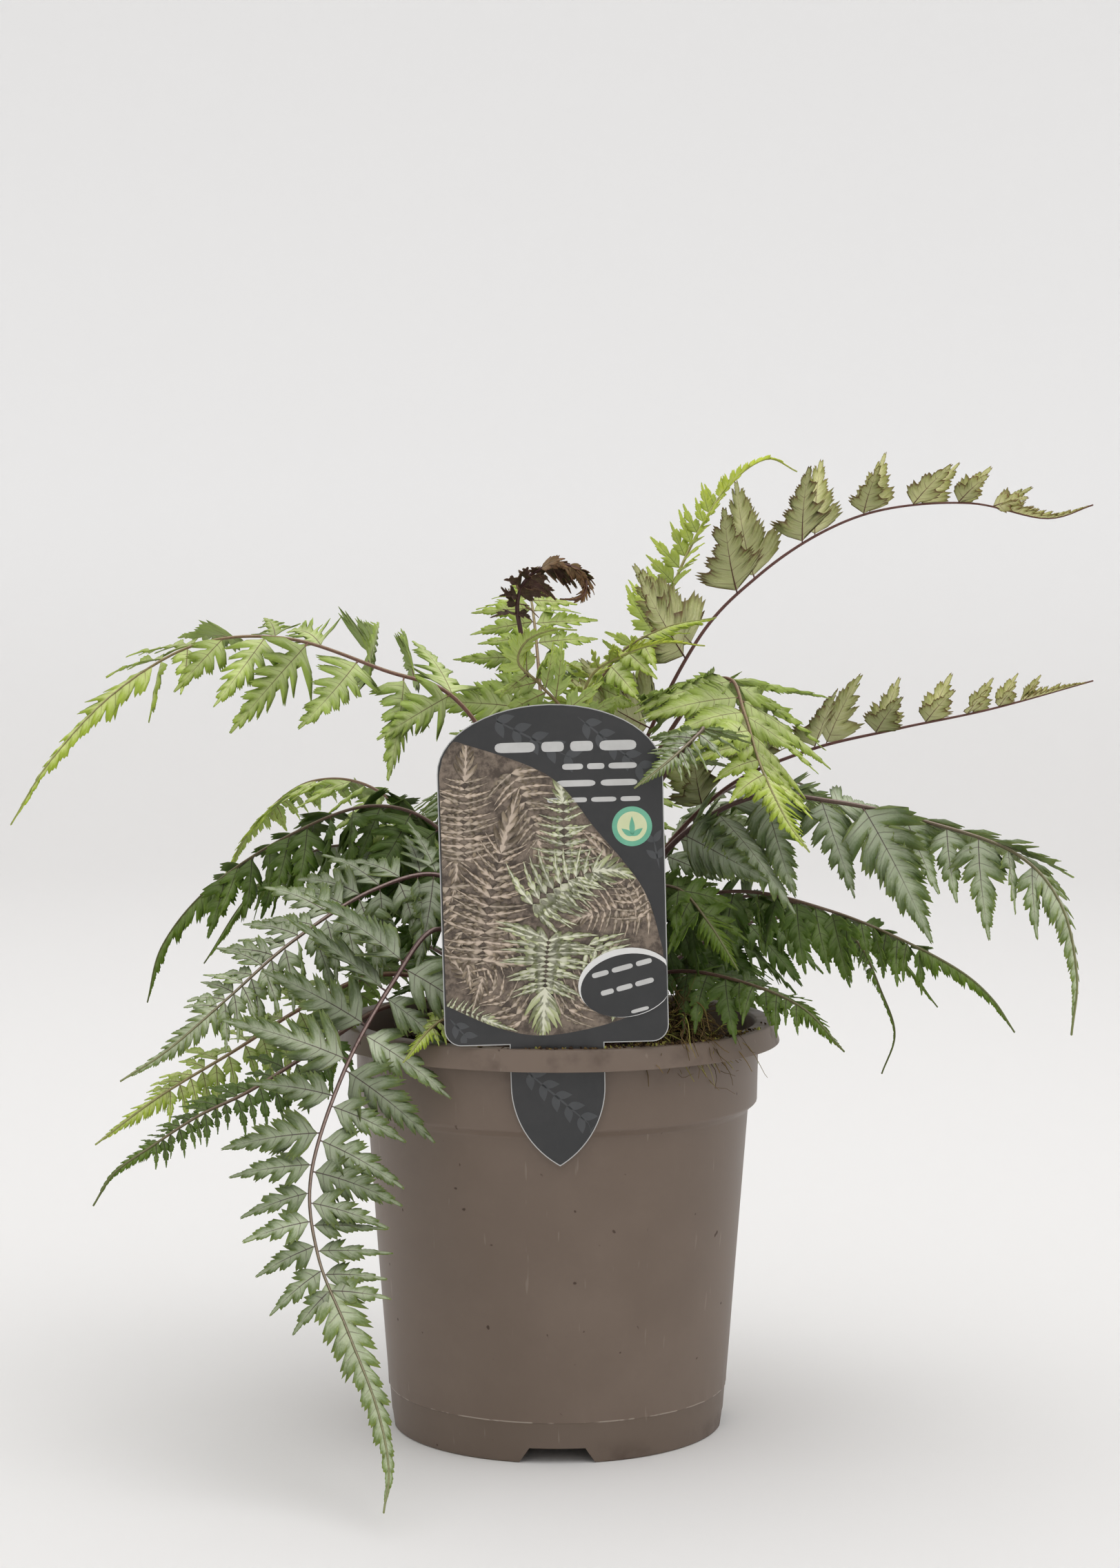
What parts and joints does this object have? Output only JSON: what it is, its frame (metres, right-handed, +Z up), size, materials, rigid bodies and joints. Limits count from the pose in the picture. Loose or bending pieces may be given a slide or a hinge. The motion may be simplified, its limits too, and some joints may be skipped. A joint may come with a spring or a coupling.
{
  "type": "potted fern",
  "caption": "Clump of arching and drooping lady-fern fronds growing from compost in a round moulded nursery pot, with a printed plant label hung in the pot's rim.",
  "frame": {"origin": "centre of the pot's foot, on the surface the pot stands on", "axes": "+Z up along the pot's axis; -Y is the front, where the label faces; +X is to the right seen from the front"},
  "size_m": [0.4094, 0.3116, 0.373],
  "materials": {
    "pot_plastic": "satin taupe moulded plastic, dusty, with soil specks and scuffs",
    "compost": "dark moist peat-free compost with bark, fibre and grit",
    "crown_scales": "woody rhizome with brown papery scales",
    "moss": "tangled brown moss and root fibre with a few green strands",
    "label_plastic": "thin printed plastic card, satin front, white cut edges",
    "frond_silver": "grey-green leaf with a silvery middle, purple-brown stalk and midribs",
    "frond_fresh": "thin light green leaf, translucent, with purple-brown margins and stalk",
    "frond_lime": "young yellow-green leaf",
    "frond_deep": "dark green shaded leaf",
    "frond_bud": "dark purple-brown uncurling leaf"
  },
  "bodies": {
    "root": {"pot": "pot_plastic", "compost": "compost", "crown": "crown_scales", "moss_tuft": "moss", "label": "label_plastic", "frond_front_left": "frond_silver", "frond_left_middle": "frond_silver", "frond_left_low": "frond_silver", "frond_left_trailing": "frond_silver", "frond_right_middle": "frond_silver", "frond_centre_right": "frond_silver", "frond_label_edge": "frond_silver", "frond_back_left": "frond_silver", "frond_back_right": "frond_silver", "frond_upper_left": "frond_fresh", "frond_upper_right": "frond_fresh", "frond_right_second": "frond_fresh", "frond_pale_right": "frond_fresh", "frond_centre_back": "frond_fresh", "frond_young_centre": "frond_fresh", "frond_back_upright": "frond_fresh", "frond_back_middle": "frond_fresh", "frond_lime_centre": "frond_lime", "frond_rim_left": "frond_lime", "frond_back_side": "frond_lime", "frond_right_low": "frond_lime", "frond_left_dark": "frond_deep", "frond_left_back": "frond_deep", "frond_right_curled": "frond_deep", "frond_rim_right": "frond_deep", "frond_label_right": "frond_deep", "frond_back_low_right": "frond_deep", "frond_back_low_middle": "frond_deep", "frond_back_low_left": "frond_deep", "frond_back_far_left": "frond_deep", "frond_crozier": "frond_bud"}
  },
  "joints": []
}
